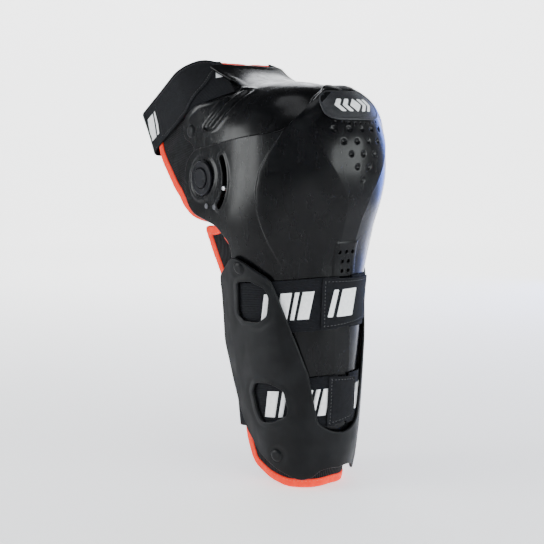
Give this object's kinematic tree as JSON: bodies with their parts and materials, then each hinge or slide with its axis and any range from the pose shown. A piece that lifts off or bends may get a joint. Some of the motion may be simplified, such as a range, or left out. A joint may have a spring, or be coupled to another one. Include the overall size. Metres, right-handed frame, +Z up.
{
  "type": "hinged knee and shin guard",
  "caption": "Hinged knee and shin guard: thigh, knee and shin shells over padded, edge-bound liners, with elastic straps round the thigh and calf.",
  "frame": {"origin": "midway between the two hinge pivots, which is where the wearer's knee joint lies", "axes": "+Z up along the shin, -Y forwards out of the kneecap, +X to the wearer's left"},
  "size_m": [0.1724, 0.2834, 0.418],
  "materials": {
    "gloss_shell": "injection-moulded shell, glossy near-black",
    "satin_shell": "injection-moulded shell, satin charcoal",
    "badge": "grained blank badge",
    "liner": "ribbed fabric over foam",
    "binding": "orange-red knitted edge binding",
    "strap": "woven elastic",
    "strap_tab": "brushed loop fabric",
    "rivet": "moulded black rivet head",
    "spacer": "natural nylon",
    "steel": "plated steel",
    "hinge_cover": "grained black cover",
    "hook_patch": "hook-and-loop tape"
  },
  "bodies": {
    "shin_part": {"knee_shell": "gloss_shell", "shin_shell": "satin_shell", "badge_plate": "badge", "shin_liner": "liner", "shin_binding": "binding", "knee_pad": "liner", "calf_strap_upper": "strap", "calf_strap_lower": "strap", "calf_tab_upper": "strap_tab", "calf_tab_lower": "strap_tab", "knee_rivets": "rivet", "toe_rivets": "rivet", "rivet_spacers": "spacer", "ear_screws": "steel", "hinge_pin_left": "steel", "hinge_pin_right": "steel", "hinge_plate_left": "hinge_cover", "hinge_plate_right": "hinge_cover", "hinge_cap_left": "hinge_cover", "hinge_cap_right": "hinge_cover", "hinge_washer_left": "spacer", "hinge_washer_right": "spacer", "shin_liner_patches": "hook_patch"},
    "thigh_part": {"thigh_shell": "gloss_shell", "thigh_liner": "liner", "thigh_binding": "binding", "thigh_strap": "strap", "thigh_tab": "strap_tab", "thigh_rivets": "rivet", "stop_pin_left": "steel", "stop_pin_right": "steel", "thigh_liner_patches": "hook_patch"}
  },
  "joints": [
    {"name": "knee_hinge", "type": "hinge", "parent": "shin_part", "child": "thigh_part", "pos_m": [0, 0, 0], "axis": [-1, 0, 0], "range_deg": [-30, 45]}
  ]
}
